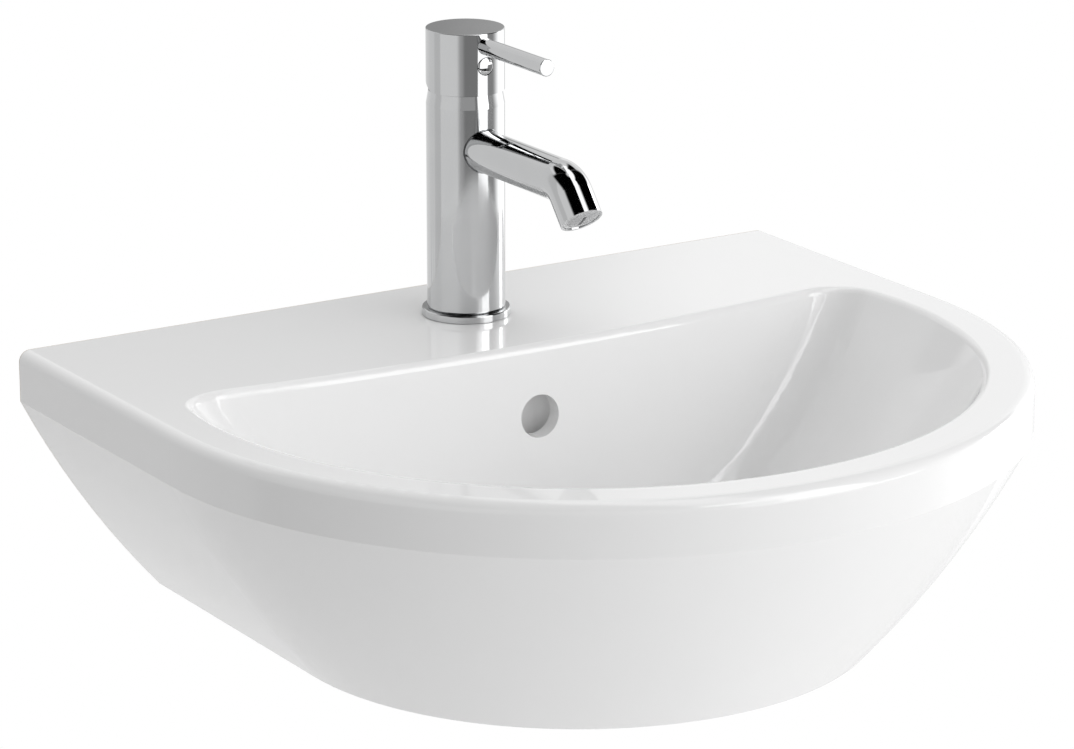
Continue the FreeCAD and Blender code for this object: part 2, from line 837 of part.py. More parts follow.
def lever_fittings():
    """Rod, index plug and grub screw, each turned along the way the lever points."""
    rod = turned(
        "lever_rod",
        [
            ("0", "lever_reach"),
            ("lever_radius - lever_edge", "lever_reach"),
            ("lever_radius", "lever_reach - lever_edge", "lever_edge"),
            ("lever_radius", "tap_radius - lever_socket"),
            ("lever_stud_radius", "tap_radius - lever_socket"),
            ("lever_stud_radius", "tap_radius - lever_socket - lever_stud_length"),
            ("0", "tap_radius - lever_socket - lever_stud_length"),
        ],
        ("0", "-tap_line", "rim_height + lever_height"),
        "90",
    )
    beside = ("0", "-tap_line", "rim_height + index_height")
    face = "tap_radius - index_sink"
    edge = "(index_radius - slip)"
    plug = turned(
        "index_plug",
        [
            ("0", face),
            (edge, f"{face} - ({dome_rise('index_curve_radius', edge)})", "index_curve_radius"),
            (edge, "tap_radius - index_pocket"),
            ("0", "tap_radius - index_pocket"),
        ],
        beside,
        "90",
    )
    grub = turned(
        "grub_screw",
        [
            ("0", "stem_half + grub_length"),
            ("grub_radius", "stem_half + grub_length"),
            ("grub_radius", "stem_half"),
            ("0", "stem_half"),
        ],
        beside,
        "90",
    )
    return [rod, plug, grub]


# Mixing cartridge


def cartridge_shell():
    housing = turned(
        "cartridge_housing",
        [
            ("rotor_radius + rotor_play", "collar_height"),
            ("collar_radius", "collar_height"),
            ("collar_radius", "shoulder_height"),
            ("cartridge_radius", "shoulder_height"),
            ("cartridge_radius", "seat_height"),
            ("chamber_radius", "seat_height"),
            ("chamber_radius", "chamber_roof"),
            ("rotor_radius + rotor_play", "chamber_roof"),
        ],
        TAP,
    )
    nut_top = "shoulder_height + nut_height"
    nut = washer("cartridge_nut", "collar_radius + nut_play", "nut_radius", "shoulder_height", nut_top, TAP)
    for turn_across in (True, False):
        key = sketch_on(nut, "XY_Plane", nut_top)
        long_half, short_half = "nut_radius + cut_over", "key_half"
        if not turn_across:
            long_half, short_half = short_half, long_half
        box_outline(key, f"-({long_half})", long_half, f"-({short_half})", short_half)
        pocket(key, "key_deep")
    return [housing, nut]


def cartridge_plates():
    """Ported base with its seals, and the fixed disc that lies on it."""
    base = new_body("cartridge_base", TAP)
    pad(rounds(sketch_on(base, "XY_Plane", "seat_height"), [("0", "0", "plate_radius")]), "plate_thick")
    holes = ports("waterway_radius", "outlet_radius")
    pocket(rounds(sketch_on(base, "XY_Plane", "seat_height"), holes), "plate_thick", flip=True)
    inner = ports("waterway_radius + port_gap", "outlet_radius + port_gap")
    span = "port_gap + port_seal"
    outer = ports(f"waterway_radius + {span}", f"outlet_radius + {span}")
    pocket(rounds(sketch_on(base, "XY_Plane", "seat_height"), inner + outer), "port_groove", flip=True)
    seals = new_body("cartridge_seals", TAP)
    inner = ports("waterway_radius + port_gap + slip", "outlet_radius + port_gap + slip")
    outer = ports(f"waterway_radius + {span} - slip", f"outlet_radius + {span} - slip")
    pad(rounds(sketch_on(seals, "XY_Plane", "seat_height"), inner + outer), "port_groove")
    disc = new_body("fixed_disc", TAP)
    low = "seat_height + plate_thick"
    pad(rounds(sketch_on(disc, "XY_Plane", low), [("0", "0", "plate_radius")]), "disc_thick")
    pocket(rounds(sketch_on(disc, "XY_Plane", low), holes), "disc_thick", flip=True)
    return [base, seals, disc]


def sliding_disc():
    """Upper disc with its mixing hollow, and the plate that the stem's ball drives."""
    low = "seat_height + plate_thick + disc_thick + disc_film"
    disc = new_body("moving_disc", TAP)
    pad(rounds(sketch_on(disc, "XY_Plane", low), [("0", "0", "slide_radius")]), "slide_thick")
    pocket(rounds(sketch_on(disc, "XY_Plane", low), [("0", "0", "mix_radius")]), "mix_deep", flip=True)
    driver = new_body("disc_driver", TAP)
    top = f"{low} + slide_thick"
    plate = sketch_on(driver, "XY_Plane", top)
    box_outline(plate, "-driver_across", "driver_across", "-driver_along", "driver_along")
    pad(plate, "driver_thick")
    socket = rounds(sketch_on(driver, "XY_Plane", top), [("0", "0", "ball_radius + ball_play")])
    pocket(socket, "driver_thick", flip=True)
    return [disc, driver]


def rotor():
    """Rotor that carries the pivot pin, with two lips that turn the driver."""
    body = turned(
        "temperature_rotor",
        [
            ("0", "rotor_top"),
            ("rotor_radius", "rotor_top"),
            ("rotor_radius", "rotor_low + rotor_rim_thick"),
            ("rotor_rim", "rotor_low + rotor_rim_thick"),
            ("rotor_rim", "rotor_low"),
            ("0", "rotor_low"),
        ],
        TAP,
    )
    lips = sketch_on(body, "XY_Plane", "lip_low")
    inside = "driver_across + driver_play"
    box_outline(lips, inside, "rotor_radius", "-lip_along", "lip_along")
    box_outline(lips, "-rotor_radius", f"-({inside})", "-lip_along", "lip_along")
    pad(lips, "rotor_low + rotor_rim_thick - lip_low")
    slot = sketch_on(body, "XY_Plane", "rotor_top")
    box_outline(slot, "-stem_slot_half", "stem_slot_half", "-stem_slot_reach", "stem_slot_reach")
    pocket(slot, "rotor_top - rotor_low")
    pin_hole = [("0", "pivot_height", "pin_radius + slip")]
    pocket(rounds(sketch_on(body, "YZ_Plane"), pin_hole), "(pin_half + slip) * 2", both=True)
    pin = new_body("pivot_pin", TAP)
    pad(rounds(sketch_on(pin, "YZ_Plane"), [("0", "pivot_height", "pin_radius")]), "pin_half * 2", both=True)
    return [body, pin]


def lever_stem():
    body = new_body("lever_stem", TAP)
    square = sketch_on(body, "XY_Plane", "stem_low")
    box_outline(square, "-stem_half", "stem_half", "-stem_half", "stem_half")
    pad(square, "stem_top - stem_low")
    neck_rise = "sqrt(ball_radius * ball_radius - stem_neck_radius * stem_neck_radius)"
    ball = [
        ("0", "stem_low"),
        ("stem_neck_radius", "stem_low"),
        ("stem_neck_radius", f"ball_height + {neck_rise}"),
        ("0", "ball_height - ball_radius", "ball_radius"),
    ]
    spin(outline(sketch_on(body, "XZ_Plane"), ball))
    pin_hole = [("0", "pivot_height", "pin_radius + slip")]
    pocket(rounds(sketch_on(body, "YZ_Plane"), pin_hole), "(stem_half + cut_over) * 2", both=True)
    return [body]


# Fixing of the tap under the deck


def horseshoe(label, low, thick):
    """Round plate with a gap at the rear for the supply hoses and a hole for the stud."""
    body = new_body(label, TAP)
    pad(rounds(sketch_on(body, "XY_Plane", low), [("0", "0", "clamp_radius")]), thick)
    gap = sketch_on(body, "XY_Plane", low)
    box_outline(gap, "-clamp_gap_half", "clamp_gap_half", "-clamp_gap_front", "clamp_radius + cut_over")
    pocket(gap, thick, flip=True)
    stud = [("0", "-stud_front", "stud_radius + slip")]
    pocket(rounds(sketch_on(body, "XY_Plane", low), stud), thick, flip=True)
    return body


def tap_fixing():
    rubber_low = "-deck_thick - clamp_rubber"
    steel_low = f"{rubber_low} - clamp_steel"
    gasket = horseshoe("clamp_gasket", rubber_low, "clamp_rubber")
    plate = horseshoe("clamp_plate", steel_low, "clamp_steel")
    foot = "-tap_line - stud_front"
    stud = washer("fixing_stud", "0", "stud_radius", "-stud_low", "stud_inside", ("0", foot, "rim_height"))
    nut_place = ("0", foot, f"rim_height + {steel_low} - stud_nut_height")
    nut = hex_nut("stud_nut", "stud_nut_radius", "stud_nut_height", "stud_radius + slip", nut_place)
    return [gasket, plate, stud, nut]


# Waste


def waste():
    top = "top_seal_thick + flange_thick"
    free_top = "free_tail - waste_tail"
    body = turned(
        "waste_body",
        [
            ("dish_radius", top),
            ("flange_radius - flange_round", top),
            ("flange_radius", f"{top} - flange_round", "flange_round"),
            ("flange_radius", "top_seal_thick"),
            ("waste_tube", "top_seal_thick"),
            ("waste_tube", f"{free_top} + relief_height"),
            ("waste_tube - relief_deep", f"{free_top} + relief_height"),
            ("waste_tube - relief_deep", free_top),
            ("waste_tube", free_top),
            ("waste_tube", "-waste_tail"),
            ("waste_bore", "-waste_tail"),
            ("waste_bore", f"{top} - dish_deep"),
            ("dish_radius - dish_deep", f"{top} - dish_deep"),
        ],
        WASTE,
    )
    seat_roof = "bowl_depth + bowl_wall - waste_seat"
    slot = sketch_on(body, "XZ_Plane")
    slot_low = f"-({seat_roof}) - channel_rise"
    box_outline(slot, "-channel_half / 2", "channel_half / 2", slot_low, f"-({seat_roof})")
    pocket(slot, "(waste_tube + cut_over) * 2", both=True)
    bar_end = "(waste_bore + waste_tube) / 2"
    bridge = sketch_on(body, "XY_Plane", "-bridge_low")
    box_outline(bridge, f"-{bar_end}", bar_end, "-bridge_half", "bridge_half")
    pad(bridge, "bridge_thick")
    pad(rounds(sketch_on(body, "XY_Plane", "-bridge_low"), [("0", "0", "guide_radius")]), "bridge_thick")
    guide = [("0", "0", "spindle_radius + slip")]
    pocket(rounds(sketch_on(body, "XY_Plane", "-bridge_low"), guide), "bridge_thick", flip=True)
    boss_face = "boss_depth - waste_seat"
    low_seal = f"-({boss_face}) - low_seal_thick"
    upper = washer("waste_top_seal", "seal_inner", "seal_outer", "0", "top_seal_thick", WASTE)
    lower = washer("waste_bottom_seal", "seal_inner", "seal_outer", low_seal, f"-({boss_face})", WASTE)
    nut_place = ("0", "-drain_line", "rim_height - boss_depth - low_seal_thick - waste_nut_height")
    nut = hex_nut("waste_nut", "waste_nut_radius", "waste_nut_height", "waste_tube + slip", nut_place)
    return [body, upper, lower, nut]


def plug():
    """Push plug, shown up: the domed cap, its seal and the spindle in the waste's guide."""
    low = "top_seal_thick + flange_thick + plug_gap + plug_travel"
    crown = "(plug_radius * plug_radius + plug_dome * plug_dome) / (plug_dome * 2)"
    cap = turned(
        "plug_cap",
        [
            ("0", f"{low} + plug_thick + plug_dome"),
            ("plug_radius", f"{low} + plug_thick", crown),
            ("plug_radius", low),
            ("0", low),
        ],
        WASTE,
    )
    seal = washer("plug_seal", "plug_seal_inner", "plug_seal_outer", f"{low} - plug_seal_thick", low, WASTE)
    spindle = washer("plug_spindle", "0", "spindle_radius", "-spindle_low", low, WASTE)
    return [cap, seal, spindle]


def main():
    nodes = [basin()]
    groups = [base_ring, tap_body, spout, lever_head, lever_fittings]
    groups += [cartridge_shell, cartridge_plates, sliding_disc, rotor, lever_stem]
    groups += [tap_fixing, waste, plug]
    for group in groups:
        nodes += group()
    doc.recompute()
    for thing in doc.Objects:
        if "Invalid" in thing.State or "Error" in thing.State:
            raise ValueError(f"{thing.Label} did not compute: {thing.State}")
    os.makedirs("parts", exist_ok=True)
    for node in nodes:
        if node.Shape.isNull() or not node.Shape.isValid():
            raise ValueError(f"{node.Label} has no valid shape")
        node.Shape.exportStep(f"parts/{node.Label}.step")
        print(node.Label, len(node.Shape.Solids), round(node.Shape.Volume))


main()
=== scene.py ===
# %% [markdown]
# # A wall-hung washbasin with a single-lever tap
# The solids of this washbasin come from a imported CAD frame: a ceramic casting, a chrome tap with its
# mixing cartridge, and a push-plug waste. They arrive at their real size, in metres, with X across the
# basin, Y into the wall and Z up. This lesson leaves every solid where it is and adds what makes it look
# real: a studio, the finishes, and the small turned and threaded details that CAD leaves plain.

# %% Load the frame
import json
import math

import bpy
import numpy as np
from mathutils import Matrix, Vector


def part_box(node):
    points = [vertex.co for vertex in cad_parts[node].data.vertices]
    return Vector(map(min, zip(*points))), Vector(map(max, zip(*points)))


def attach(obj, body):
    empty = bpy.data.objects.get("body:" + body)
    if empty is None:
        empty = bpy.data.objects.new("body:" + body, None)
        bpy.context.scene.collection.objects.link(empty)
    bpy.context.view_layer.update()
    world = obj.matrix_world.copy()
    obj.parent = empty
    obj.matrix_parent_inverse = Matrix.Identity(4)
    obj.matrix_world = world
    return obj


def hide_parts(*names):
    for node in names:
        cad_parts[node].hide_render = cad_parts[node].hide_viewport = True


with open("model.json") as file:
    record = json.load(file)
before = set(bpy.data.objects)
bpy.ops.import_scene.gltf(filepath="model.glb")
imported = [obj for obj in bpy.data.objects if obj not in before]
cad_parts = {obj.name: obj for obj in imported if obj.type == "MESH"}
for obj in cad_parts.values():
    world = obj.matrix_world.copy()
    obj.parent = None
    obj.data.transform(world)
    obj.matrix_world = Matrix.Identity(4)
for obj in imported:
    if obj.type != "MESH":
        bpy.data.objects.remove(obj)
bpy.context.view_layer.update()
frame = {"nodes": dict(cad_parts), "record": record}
nodes = frame["nodes"]

# %% [markdown]
# ## The camera
# The picture was taken from the front left, a little above the rim, with a long lens. The place, the turn
# and the focal length below were found by fitting the deck's straight and round edges, so the lens shift
# stays zero. Blender measures a lens in millimetres of a 36 mm film, so the focal length in pixels is
# scaled by the width of the picture.

# %% Camera
IMAGE_WIDTH = 1074
FILM_WIDTH = 36.0
FOCAL_PIXELS = 4567.46
CAMERA_PLACE = (-1.2871, -2.2027, 0.7859)
CAMERA_YAW = math.radians(31.9546)
CAMERA_PITCH = math.radians(16.5697)

camera_data = bpy.data.cameras.new("camera")
camera_data.sensor_width = FILM_WIDTH
camera_data.lens = FOCAL_PIXELS / IMAGE_WIDTH * FILM_WIDTH
camera = bpy.data.objects.new("camera", camera_data)
camera.location = CAMERA_PLACE
camera.rotation_euler = (math.pi / 2 - CAMERA_PITCH, 0, -CAMERA_YAW)
scene = bpy.context.scene
scene.collection.objects.link(camera)
scene.camera = camera
scene.view_settings.view_transform = "Standard"
print("lens", round(camera_data.lens, 1), "mm")

# %% [markdown]
# ## Shader maths as Python
# A finish is a small graph of nodes. Wiring each Math node by hand hides the formula, so this class wraps
# one socket and lets plain signs build the nodes: `1 - mask` adds a Subtract node. Every other node comes
# from one method, which sets the node's own settings first and its sockets after. A Mix node has a set of
# sockets for each kind of value, so the ones for colours are found by their numbers.

# %% A wire between nodes
MIX_SHARE, MIX_DARK, MIX_LIGHT, MIX_COLOUR = 0, 6, 7, 2


class Wire:
    """One output of a node tree; signs on wires add Math nodes."""

    def __init__(self, tree, socket=None):
        self.tree = tree
        self.socket = socket

    def plug(self, socket, value):
        """Link a wire to a socket, or set the socket to a plain value."""
        if isinstance(value, Wire):
            self.tree.links.new(socket, value.socket)
        else:
            socket.default_value = value

    def node(self, kind, settings=None, sockets=None, output=0):
        """Add a node: its own settings first, then the values or links of its sockets."""
        made = self.tree.nodes.new(kind)
        for name, value in (settings or {}).items():
            setattr(made, name, value)
        for name, value in (sockets or {}).items():
            self.plug(made.inputs[name], value)
        return Wire(self.tree, made.outputs[output])

    def math(self, operation, first, second):
        """Math node on two values or wires."""
        return self.node("ShaderNodeMath", {"operation": operation}, {0: first, 1: second})

    def __add__(self, other):
        return self.math("ADD", self, other)

    def __rsub__(self, other):
        return self.math("SUBTRACT", other, self)

    def __mul__(self, other):
        return self.math("MULTIPLY", self, other)

    __radd__ = __add__
    __rmul__ = __mul__

    def blend(self, dark, light):
        """Colour from dark to light, each a wire or three numbers, with this wire as the share of light."""
        dark, light = (end if isinstance(end, Wire) else (*end, 1) for end in (dark, light))
        sockets = {MIX_SHARE: self, MIX_DARK: dark, MIX_LIGHT: light}
        return self.node("ShaderNodeMix", {"data_type": "RGBA"}, sockets, MIX_COLOUR)

    def place(self):
        """Object coordinates, which are metres in the frame."""
        return self.node("ShaderNodeTexCoord", output="Object")

    def noise(self, place, scale, detail):
        """Noise from 0 to 1 with about scale lumps to a metre, and detail finer layers on them."""
        return self.node("ShaderNodeTexNoise", None, {"Vector": place, "Scale": scale, "Detail": detail})


def new_material(name):
    """Empty material and the wire that starts its tree."""
    material = bpy.data.materials.new(name)
    material.use_nodes = True
    material.node_tree.nodes.clear()
    return material, Wire(material.node_tree)


def surface(wire, shader, end="ShaderNodeOutputMaterial"):
    """Send a shader to the surface of the tree's end node."""
    wire.plug(wire.tree.nodes.new(end).inputs["Surface"], shader)


print("wires ready")

# %% [markdown]
# ## The studio
# Chrome has no colour of its own: it shows the room. A picture wrapped round the scene could be that room,
# but the picture of the tap gives the room away, so it is built. The column has a white stripe from a tall
# softbox on the right and a grey one from the space round the camera, and the spout is black where cards
# hang above it. The room is made of panels on a large sphere round the tap, each at a bearing from the
# camera and a height above the horizon.

# %% Places on the dome
DOME_CENTRE = np.array([0.0, -0.15, 0.12])
DOME_RADIUS = 6.0
DOME_STEP = 0.1


def sphere_spot(bearing, height):
    """Unit vector at a bearing to the camera's right and a height above the horizon, in radians.

    towards = (-sin yaw, -cos yaw, 0) points at the camera and right = (cos yaw, -sin yaw, 0) to its right;
    spot = cos(height) (cos(bearing) towards + sin(bearing) right) + sin(height) up.
    """
    towards = np.array([-math.sin(CAMERA_YAW), -math.cos(CAMERA_YAW), 0])
    right = np.array([math.cos(CAMERA_YAW), -math.sin(CAMERA_YAW), 0])
    flat = np.cos(bearing)[..., None] * towards + np.sin(bearing)[..., None] * right
    return np.cos(height)[..., None] * flat + np.sin(height)[..., None] * np.array([0, 0, 1.0])


print("dome of", DOME_RADIUS, "m round", DOME_CENTRE)

# %% Meshes from arrays


def full_turn(steps):
    """Angles evenly round a circle, the last one a step short of the first."""
    return np.linspace(0, 2 * np.pi, steps, endpoint=False)


def grid_faces(rows, columns, closed=False):
    """Corner numbers of a grid's quads; closed joins the last column to the first."""
    row, column = np.meshgrid(np.arange(rows - 1), np.arange(columns - (not closed)), indexing="ij")
    after = (column + 1) % columns
    near, far = row * columns, (row + 1) * columns
    return np.stack([near + column, near + after, far + after, far + column], axis=-1).reshape(-1, 4)


def new_mesh(name, spots, faces, material):
    """Smooth-shaded object at the origin from an array of points and an array of faces."""
    mesh = bpy.data.meshes.new(name)
    mesh.from_pydata(spots.reshape(-1, 3), [], faces)
    mesh.polygons.foreach_set("use_smooth", np.ones(len(mesh.polygons), dtype=bool))
    mesh.materials.append(material)
    made = bpy.data.objects.new(name, mesh)
    scene.collection.objects.link(made)
    return made


print("a closed grid of 3 rows and 4 columns has", len(grid_faces(3, 4, True)), "faces")

# %% [markdown]
# ## Panels of light and shade
# An area lamp has hard edges, and its reflection would show them, so a panel is a patch of the sphere that
# glows and fades out towards its edges. It only shows in reflections; the sky further down lights the matt
# surfaces. The glaze returns only a twentieth of what it sees, so the thin white lines on the bowl's lip and
# crease need small hot panels in the softbox. One more stands further right: the column shows it by way of
# the deck, as a fine line down its right edge.

# %% One panel
PANEL_STEPS = 48
WHITE = (1, 1, 1, 1)


def panel_light(name, radiance):
    """Emission that fades into whatever lies behind the panel by its edge attribute."""
    material, wire = new_material(name)
    edge = wire.node("ShaderNodeAttribute", {"attribute_name": "edge"}, output="Fac")
    glow = wire.node("ShaderNodeEmission", None, {"Color": WHITE, "Strength": radiance})
    clear = wire.node("ShaderNodeBsdfTransparent")
    surface(wire, wire.node("ShaderNodeMixShader", None, {0: edge, 1: clear, 2: glow}))
    return material


def soft_step(distance, width):
    """Smooth rise from 0 at the edge to 1 at a width inside it: 3 s^2 - 2 s^3 with s = distance / width."""
    share = np.clip(distance / width, 0, 1)
    return share * share * (3 - 2 * share)


def panel(name, radius, bearings, heights, soft, radiance):
    """Patch of the sphere between two bearings and two heights, in degrees.

    Its edge attribute is the product of four soft steps, one from each side.
    """
    bearing, height = np.meshgrid(
        np.linspace(*bearings, PANEL_STEPS), np.linspace(*heights, PANEL_STEPS), indexing="ij"
    )
    spots = DOME_CENTRE + radius * sphere_spot(np.radians(bearing), np.radians(height))
    made = new_mesh(name, spots, grid_faces(PANEL_STEPS, PANEL_STEPS), panel_light(name, radiance))
    left, right, ends = soft
    edge = soft_step(bearing - bearings[0], left) * soft_step(bearings[1] - bearing, right)
    edge = edge * soft_step(height - heights[0], ends) * soft_step(heights[1] - height, ends)
    values = made.data.attributes.new("edge", "FLOAT", "POINT").data
    values.foreach_set("value", edge.astype(np.float32).ravel())
    made.visible_camera = False
    made.visible_diffuse = False
    made.visible_shadow = False


print("a panel has", len(grid_faces(PANEL_STEPS, PANEL_STEPS)), "faces")

# %% [markdown]
# ## Hang the panels
# Each line gives the bearings and the heights between which a panel hangs, in degrees, over how many
# degrees it fades at its left, at its right, and at its top and bottom, and how bright it is, where 1 is
# paper white and 0 a black card. Every panel hangs a little nearer than the one before, so it covers it.

# %% All the panels
PANELS = {
    "left_wall": ((-168, -6), (-40, 42), (10, 6, 6), 0.72),
    "left_strip": ((-132, -96), (-40, 42), (10, 10, 6), 0.84),
    "left_screen": ((-80, -14), (-40, 42), (5, 10, 6), 0.9),
    "camera_shade": ((-28, 60), (-40, 30), (30, 2, 6), 0.27),
    "right_shade": ((60, 125), (-40, 24), (2, 10, 6), 0.34),
    "right_softbox": ((86, 158), (-40, 24), (32, 12, 6), 1.75),
    "rear_wall": ((158, 240), (-34, 50), (8, 10, 8), 0.87),
    "rear_light": ((148, 181), (4, 26), (8, 5, 5), 1.1),
    "rear_shade": ((177, 235), (3, 21), (5, 10, 5), 0.36),
    "rear_left_card": ((-174, -138), (48, 88), (8, 8, 6), 0.4),
    "top_light": ((16, 194), (58, 89), (8, 8, 4), 1.8),
    "key_softbox": ((36, 71), (-40, 42), (3, 3, 5), 1.8),
    "low_shade": ((-90, 84), (-40, -15), (12, 20, 3), 0.0),
    "left_card": ((-98, 30), (30, 88), (8, 5, 8), 0.0),
    "left_end_card": ((-142, -88), (46, 88), (8, 6, 6), 0.0),
    "front_card": ((-50, 31), (20, 66), (14, 4, 6), 0.0),
    "right_card": ((67, 150), (16, 72), (8, 8, 6), 0.0),
    "rear_card": ((140, 174), (37, 72), (8, 12, 6), 0.0),
    "overhead_strip": ((28, 66), (46, 66), (4, 6, 4), 1.8),
    "key_core": ((46, 74), (-8, 44), (4, 3, 4), 4.5),
    "key_foot": ((68, 90), (-8, 1), (4, 5, 3), 4.0),
    "front_strip": ((28, 50), (15, 30), (4, 4, 4), 4.0),
    "right_strip": ((116, 136), (9, 21), (4, 4, 3), 6.0),
    "camera_screen": ((-16, 31), (0, 14), (10, 3, 4), 0.46),
}

for number, (panel_name, settings) in enumerate(PANELS.items()):
    panel(panel_name, DOME_RADIUS - number * DOME_STEP, *settings)
print(len(PANELS), "panels, the nearest at", round(DOME_RADIUS - number * DOME_STEP, 1), "m")

# %% [markdown]
# ## The floor
# The basin hangs about 0.85 m above a pale paper floor, which throws light up under the bowl. A plane would
# do, but a disc ends evenly on all sides, so no corner of it shows in the chrome.

# %% Floor
FLOOR_HEIGHT = -0.85
FLOOR_RADIUS = 1.7
FLOOR_RINGS = 8
FLOOR_STEPS = 96
FLOOR_GRAIN = (40.0, 4.0)
FLOOR_DARK, FLOOR_LIGHT = (0.91,) * 3, (0.95,) * 3

floor_finish, wire = new_material("floor_paper")
paper = wire.noise(wire.place(), *FLOOR_GRAIN).blend(FLOOR_DARK, FLOOR_LIGHT)
surface(wire, wire.node("ShaderNodeBsdfDiffuse", None, {"Color": paper}))

reach, turn = np.meshgrid(np.linspace(0, FLOOR_RADIUS, FLOOR_RINGS), full_turn(FLOOR_STEPS), indexing="ij")
disc = np.stack([reach * np.cos(turn), reach * np.sin(turn), np.full(reach.shape, FLOOR_HEIGHT)], axis=-1)
disc[..., :2] += DOME_CENTRE[:2]
floor = new_mesh("floor", disc, grid_faces(FLOOR_RINGS, FLOOR_STEPS, True), floor_finish)
print("floor at", FLOOR_HEIGHT, "m")

# %% [markdown]
# ## The sky
# The background is paper white to the camera and to mirrors. Matt surfaces get a dim even sky with a few
# soft lights in it. Most stand on the picture's right, so the left flank falls into shade as in the picture,
# and one behind reaches the deck. Lamps could do this, but their shadows would have edges. A soft light is
# the cosine of the angle from its middle, raised to a power that sets how wide it spreads. Each line gives
# its bearing and height in degrees and its strength.

# %% Sky
SKY_LEVEL = 0.31
SKY_SPREAD = 4.0
SKY_LIGHTS = {
    "front_right": (45, 30, 1.1),
    "near_right": (70, 5, 0.48),
    "right": (90, -10, 0.95),
    "low_right": (120, -45, 0.64),
    "rear_left": (-160, 30, 1.33),
    "left": (-110, 50, 0.4),
}

scene.world = bpy.data.worlds.new("sky")
scene.world.use_nodes = True
scene.world.node_tree.nodes.clear()
wire = Wire(scene.world.node_tree)
direction = wire.node("ShaderNodeTexCoord", output="Generated")
level = SKY_LEVEL
for bearing, height, strength in SKY_LIGHTS.values():
    sockets = {0: direction, 1: tuple(sphere_spot(np.radians(bearing), np.radians(height)))}
    cosine = wire.node("ShaderNodeVectorMath", {"operation": "DOT_PRODUCT"}, sockets, output="Value")
    level = level + strength * wire.math("POWER", wire.math("MAXIMUM", cosine, 0.0), SKY_SPREAD)
shown = wire.node("ShaderNodeLightPath", output="Is Camera Ray")
for ray in ("Is Glossy Ray", "Is Transmission Ray"):
    shown = wire.math("MAXIMUM", shown, wire.node("ShaderNodeLightPath", output=ray))
level = shown + (1 - shown) * level
sky = wire.node("ShaderNodeBackground", None, {"Color": WHITE, "Strength": level})
surface(wire, sky, "ShaderNodeOutputWorld")
print("sky level", SKY_LEVEL, "with", len(SKY_LIGHTS), "soft lights")

# %% [markdown]
# ## Glaze
# Sanitary ware is a white clay body under a thick clear-white glaze. The glaze is very smooth but never
# optically flat: it has a faint orange peel a few centimetres long and a slightly uneven white. One glossy
# shader could do, but a coat over a softer base gives both the sharp mirror of the tap in the deck and the
# milky body. The face against the wall is ground bare after firing, so the coat ends there and the cream
# clay shows. Each grain is a noise with its lumps per metre and its finer layers.

# %% Glazed ceramic
WALL_FACE = -0.0006
MOTTLE_GRAIN, PEEL_GRAIN, CLAY_GRAIN = (7.0, 3.0), (34.0, 2.0), (420.0, 4.0)
GLAZE_DARK, GLAZE_LIGHT = (0.885,) * 3, (0.915,) * 3
CLAY_DARK, CLAY_LIGHT = (0.62, 0.57, 0.49), (0.74, 0.69, 0.61)
PEEL_SHARE = 0.6
PEEL_STRENGTH, PEEL_HEIGHT = 0.05, 0.0006
BODY_ROUGHNESS, MOTTLE_ROUGHNESS, BARE_ROUGHNESS = 0.22, 0.06, 0.45
COAT_ROUGHNESS = 0.02
GLASS_IOR = 1.5


def glazed_ceramic(name):
    """Uneven white under a clear coat, and bare cream clay where Y lies past the wall face."""
    material, wire = new_material(name)
    place = wire.place()
    mottle, peel, clay = (wire.noise(place, *grain) for grain in (MOTTLE_GRAIN, PEEL_GRAIN, CLAY_GRAIN))
    depth = wire.node("ShaderNodeSeparateXYZ", None, {0: place}, output="Y")
    bare = wire.math("GREATER_THAN", depth, WALL_FACE)
    white = mottle.blend(GLAZE_DARK, GLAZE_LIGHT)
    cream = clay.blend(CLAY_DARK, CLAY_LIGHT)
    relief = {"Strength": PEEL_STRENGTH, "Distance": PEEL_HEIGHT, "Height": peel * PEEL_SHARE + clay * bare}
    sockets = {
        "Base Color": bare.blend(white, cream),
        "Roughness": BODY_ROUGHNESS + MOTTLE_ROUGHNESS * mottle + BARE_ROUGHNESS * bare,
        "Specular IOR Level": 0.0,
        "Coat Weight": 1 - bare,
        "Coat Roughness": COAT_ROUGHNESS,
        "Coat IOR": GLASS_IOR,
        "Normal": wire.node("ShaderNodeBump", None, relief),
    }
    surface(wire, wire.node("ShaderNodeBsdfPrincipled", None, sockets))
    return material


FINISHES = {"sanitary_ceramic": glazed_ceramic("sanitary_ceramic")}
print("glaze is bare past Y =", WALL_FACE)

# %% [markdown]
# ## Chrome
# The tap's brass is polished and plated. Chrome reflects a little more than half of the light, slightly
# blue, and its polish is nearly perfect, with a trace of haze that shifts along the surface. The column is
# turned before it is plated and keeps fine rings, which draw its reflections out up and down. Rings in the
# mesh would be too fine to draw, so anisotropy does that: its smear runs along the column after a quarter
# turn from Blender's own direction, round Z.

# %% Polished chrome
QUARTER_TURN = 0.25
CHROME_DARK, CHROME_LIGHT = (0.56, 0.565, 0.57), (0.60, 0.605, 0.61)
HAZE_GRAIN = (55.0, 3.0)
HAZE_ROUGHNESS = 0.03
POLISHED_ROUGHNESS, POLISHED_RINGS = 0.03, 0.0
TURNED_ROUGHNESS, TURNED_RINGS = 0.055, 0.9


def polished_chrome(name, roughness, rings):
    """Mirror finish; rings is the share by which turned lines draw the reflections out along Z."""
    material, wire = new_material(name)
    haze = wire.noise(wire.place(), *HAZE_GRAIN)
    sockets = {
        "Base Color": haze.blend(CHROME_DARK, CHROME_LIGHT),
        "Metallic": 1.0,
        "Roughness": roughness + HAZE_ROUGHNESS * haze,
        "Anisotropic": rings,
        "Anisotropic Rotation": QUARTER_TURN,
    }
    surface(wire, wire.node("ShaderNodeBsdfPrincipled", None, sockets))
    return material


